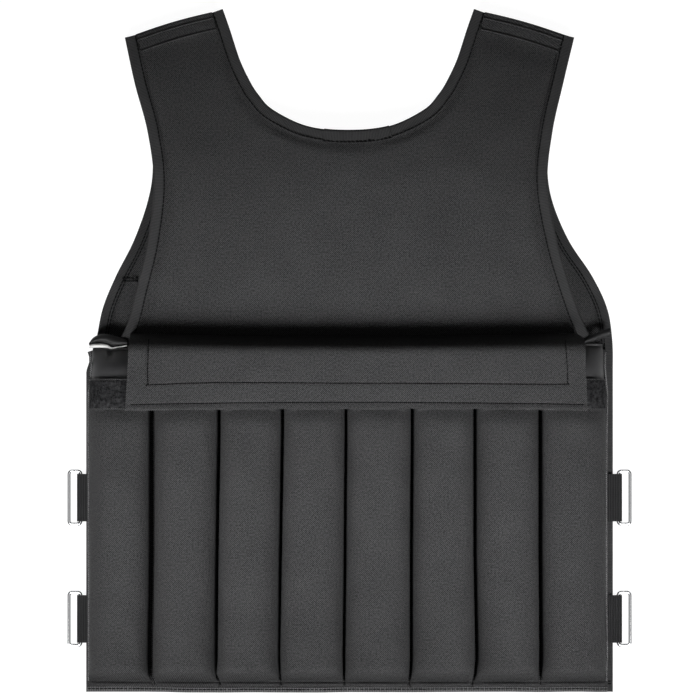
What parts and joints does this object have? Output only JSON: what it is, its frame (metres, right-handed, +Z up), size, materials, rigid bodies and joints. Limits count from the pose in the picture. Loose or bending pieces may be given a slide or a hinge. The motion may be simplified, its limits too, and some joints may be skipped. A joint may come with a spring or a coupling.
{
  "type": "weighted vest",
  "caption": "Weighted training vest lying flat: bib, tall sewn pockets with filled bags, closing flap, bound edges, side webbing with wire rings.",
  "frame": {"origin": "centre of the vest's outline on the surface that it lies on", "axes": "+Y towards the shoulders, +X to the right as seen from the front, +Z up out of the front"},
  "size_m": [0.4798, 0.58, 0.0504],
  "materials": {
    "cloth": "black woven nylon, fine twill, slight sheen",
    "binding": "black ribbed binding tape",
    "bag_cloth": "black coated cloth, smooth",
    "loop_pile": "black hook-and-loop pile",
    "webbing": "black ribbed webbing",
    "bright_wire": "polished"
  },
  "bodies": {
    "vest": {"back_panel": "cloth", "back_binding": "binding", "back_neck_binding": "binding", "front_panel": "cloth", "front_neck_binding": "binding", "front_armhole_binding_left": "binding", "front_armhole_binding_right": "binding", "bottom_binding": "binding", "shoulder_left": "cloth", "shoulder_right": "cloth", "pocket_sheet": "cloth", "weight_bag_1": "bag_cloth", "weight_bag_2": "bag_cloth", "weight_bag_3": "bag_cloth", "weight_bag_4": "bag_cloth", "weight_bag_5": "bag_cloth", "weight_bag_6": "bag_cloth", "weight_bag_7": "bag_cloth", "weight_bag_8": "bag_cloth", "loop_strip": "loop_pile", "flap": "cloth", "webbing_tab_1": "webbing", "webbing_tab_2": "webbing", "webbing_tab_3": "webbing", "webbing_tab_4": "webbing"},
    "ring_left_upper": {"ring_1": "bright_wire"},
    "ring_left_lower": {"ring_2": "bright_wire"},
    "ring_right_upper": {"ring_3": "bright_wire"},
    "ring_right_lower": {"ring_4": "bright_wire"}
  },
  "joints": [
    {"name": "ring_left_upper_turn", "type": "hinge", "parent": "vest", "child": "ring_left_upper", "pos_m": [-0.2283, -0.125, 0.0032], "axis": [0, 1, 0], "range_deg": [0, 105]},
    {"name": "ring_left_lower_turn", "type": "hinge", "parent": "vest", "child": "ring_left_lower", "pos_m": [-0.2283, -0.228, 0.0032], "axis": [0, 1, 0], "range_deg": [0, 105]},
    {"name": "ring_right_upper_turn", "type": "hinge", "parent": "vest", "child": "ring_right_upper", "pos_m": [0.2283, -0.125, 0.0032], "axis": [0, -1, 0], "range_deg": [0, 105]},
    {"name": "ring_right_lower_turn", "type": "hinge", "parent": "vest", "child": "ring_right_lower", "pos_m": [0.2283, -0.228, 0.0032], "axis": [0, -1, 0], "range_deg": [0, 105]}
  ]
}
